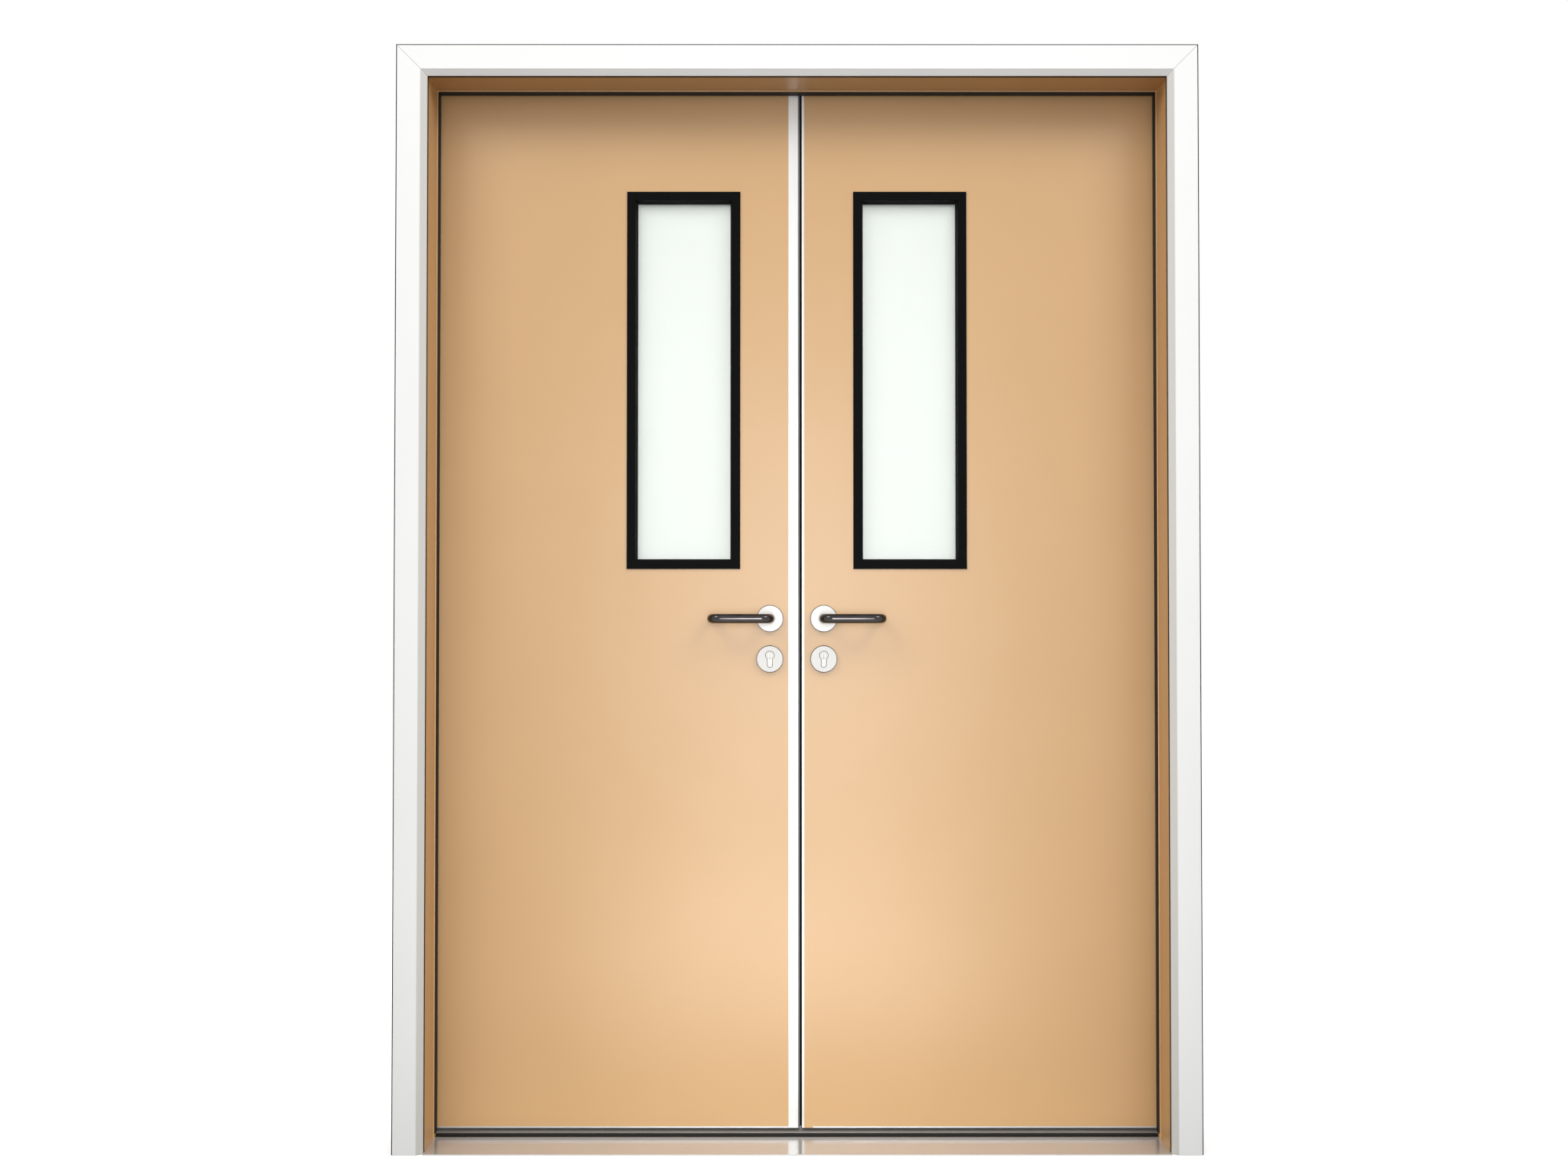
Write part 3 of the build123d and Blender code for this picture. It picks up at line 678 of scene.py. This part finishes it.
def cylinder_lines():
    """Black lines round each lock cylinder and round the plug that the key turns: painted shade of
    the gaps there.
    """
    for side, sign in SIDES:
        centre_x = sign * FURNITURE_X
        face_low, face_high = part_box(f"{side}_lock_escutcheons")
        end_low, end_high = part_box(f"{side}_lock_cylinder")
        for word, face_y, end_y, away in (
            ("front", face_low.y, end_low.y, -1), ("rear", face_high.y, end_high.y, 1),
        ):
            raised_line(
                f"{side}_cylinder_gap_shade_{word}",
                *[key_outline(centre_x, face_y, grow) for grow in GAP_SHADE_GROWS],
                away, GAP_SHADE_PROUD, f"{side}_leaf",
            )
            raised_line(
                f"{side}_cylinder_plug_rim_{word}",
                *[circle(centre_x, end_y, HEAD_Z, radius) for radius in PLUG_RADII],
                away, PLUG_GAP_SHADE_PROUD, f"{side}_leaf",
            )


def fasteners():
    """Screws of the hinge plates, and of the lock faceplates with the cylinder's own screw."""
    heights = [foot + rise for foot in HINGE_FEET for rise in HINGE_SCREW_RISES]
    places = [(depth, height) for height in heights for depth in HINGE_SCREW_DEPTHS]
    for side, sign in SIDES:
        for word, plate_x, facing, body in (
            ("frame", HINGE_FRAME_X, -sign, "frame"), ("leaf", HINGE_LEAF_X, sign, f"{side}_leaf"),
        ):
            screws(
                f"{side}_hinge_{word}_screws", [(sign * plate_x, y, z) for y, z in places],
                (facing, 0, 0), HINGE_SCREW_RADIUS, HINGE_SCREW_PROUD, body,
            )
        low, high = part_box(f"{side}_lock_faceplate")
        face_x = high.x if sign < 0 else low.x
        middle = (low.y + high.y) / 2
        rises = (low.z + PLATE_SCREW_MARGIN, CYLINDER_Z, high.z - PLATE_SCREW_MARGIN)
        screws(
            f"{side}_lock_faceplate_screws", [(face_x, middle, z) for z in rises],
            (-sign, 0, 0), PLATE_SCREW_RADIUS, PLATE_SCREW_PROUD, f"{side}_leaf",
        )


def seen_directly(tree):
    """Socket that is 1 for rays from the eye, a mirror or a pane, and 0 for scattered light."""
    rays = add(tree, "ShaderNodeLightPath").outputs
    seen = rays["Is Camera Ray"]
    for word in ("Is Glossy Ray", "Is Transmission Ray"):
        seen = add(tree, "ShaderNodeMath", {0: seen, 1: rays[word]}, operation="MAXIMUM")
        seen = seen.outputs["Value"]
    return seen


def pale_floor():
    """Pale floor that looks white, and throws back little light close to the door."""
    reach = 14.0
    drop = 0.3 * MM
    # The bounce is painted shade near the door: darkest until dark_until from the door's outline,
    # and whole from lighter_from
    door_half = (0.8, 0.085, 0.0)
    dark_until = 0.3
    lighter_from = 1.0
    data = bpy.data.meshes.new("studio_floor")
    data.from_pydata(
        [(-reach, -reach, 0), (reach, -reach, 0), (reach, reach, 0), (-reach, reach, 0)],
        [], [(0, 1, 2, 3)],
    )
    floor = bpy.data.objects.new("studio_floor", data)
    floor.location.z = -drop
    bpy.context.collection.objects.link(floor)

    material, tree, output, place = new_material("pale_floor")
    mirrored = add(tree, "ShaderNodeVectorMath", {0: place}, operation="ABSOLUTE")
    past = add(tree, "ShaderNodeVectorMath", {
        0: mirrored.outputs["Vector"], 1: door_half,
    }, operation="SUBTRACT")
    past = add(tree, "ShaderNodeVectorMath", {
        0: past.outputs["Vector"], 1: (0.0, 0.0, 0.0),
    }, operation="MAXIMUM")
    away = add(tree, "ShaderNodeVectorMath", {0: past.outputs["Vector"]}, operation="LENGTH")
    share = add(tree, "ShaderNodeMapRange", {
        "Value": away.outputs["Value"], "From Min": dark_until, "From Max": lighter_from,
    }, interpolation_type="SMOOTHSTEP")
    # Painted shade: the light thrown back close to the door is near black
    tone = add(tree, "ShaderNodeMix", {
        "Factor": share.outputs["Result"], "A": linear("101010"), "B": linear("5A5958"),
    }, data_type="RGBA")
    bounce = add(tree, "ShaderNodeBsdfDiffuse", {"Color": tone.outputs["Result"]})
    pale = add(tree, "ShaderNodeBsdfDiffuse", {"Color": linear("F8F8F8")})
    glow = add(tree, "ShaderNodeEmission", {"Strength": 0.2})
    white = add(tree, "ShaderNodeAddShader", {
        0: pale.outputs["BSDF"], 1: glow.outputs["Emission"],
    })
    mix = add(tree, "ShaderNodeMixShader", {
        0: seen_directly(tree), 1: bounce.outputs["BSDF"], 2: white.outputs["Shader"],
    })
    tree.links.new(mix.outputs["Shader"], output.inputs["Surface"])
    data.materials.append(material)


def white_surroundings():
    """Even white all round, a touch dimmer as light than it looks."""
    world = bpy.data.worlds.new("studio_white")
    world.use_nodes = True
    bpy.context.scene.world = world
    tree = world.node_tree
    tree.nodes.clear()
    level = add(tree, "ShaderNodeMapRange", {
        "Value": seen_directly(tree), "To Min": 0.97, "To Max": 1.0,
    })
    light = add(tree, "ShaderNodeBackground", {
        "Color": linear("FFFFFF"), "Strength": level.outputs["Result"],
    })
    output = add(tree, "ShaderNodeOutputWorld")
    tree.links.new(light.outputs["Background"], output.inputs["Surface"])


def softboxes():
    """Soft lamps in front, above and behind.

    Those in front have grids, so they light the middle of the door more than its edges. The key
    lamp draws the white line on the levers, the low one lights the foot of the leaves, and the
    rear one is as bright as the surroundings, so the panes look even.
    """
    # Name, place, aim, width, height, watts, and the grid's angle in degrees
    lamps = (
        ("left_softbox", (-2.3, -2.2, 4.1), (0.0, 0.0, 2.0), 1.6, 1.6, 18.9, 110),
        ("right_softbox", (2.3, -2.2, 4.1), (0.0, 0.0, 2.0), 1.6, 1.6, 18.9, 110),
        ("key_softbox", (0.03, -3.4, 1.0), (0.03, 0.0, 0.9), 0.6, 1.7, 5.84, 65),
        ("low_softbox", (0.0, -1.05, 0.16), (0.0, 0.0, 0.3), 0.9, 0.3, 0.61, 70),
        ("rear_softbox", (0.0, 3.6, 1.8), (0.0, 0.0, 1.2), 3.2, 3.2, 32, 180),
    )
    for name, place, aim, width, height, watts, spread in lamps:
        data = bpy.data.lights.new(name, "AREA")
        data.shape = "RECTANGLE"
        data.size = width
        data.size_y = height
        data.energy = watts
        data.spread = math.radians(spread)
        lamp = bpy.data.objects.new(name, data)
        lamp.location = place
        direction = Vector(aim) - Vector(place)
        lamp.rotation_euler = direction.to_track_quat("-Z", "Y").to_euler()
        bpy.context.collection.objects.link(lamp)


def camera():
    """The photograph's viewpoint."""
    data = bpy.data.cameras.new("photo_camera")
    data.sensor_width = SENSOR_WIDTH
    data.sensor_fit = "HORIZONTAL"
    data.lens = PHOTO_FOCAL / PHOTO_WIDTH * SENSOR_WIDTH
    eye = bpy.data.objects.new("photo_camera", data)
    eye.location = CAMERA_PLACE
    eye.rotation_euler = (math.pi / 2 + CAMERA_PITCH_UP, 0.0, CAMERA_TURN)
    bpy.context.collection.objects.link(eye)
    bpy.context.scene.camera = eye


finish_nodes()
glazing_gaskets()
meeting_seal()
frame_seals()
mitre_sealant()
threshold_wiper()
meeting_trim()
cylinder_lines()
fasteners()
pale_floor()
white_surroundings()
softboxes()
camera()
bpy.context.scene.view_settings.view_transform = "Standard"
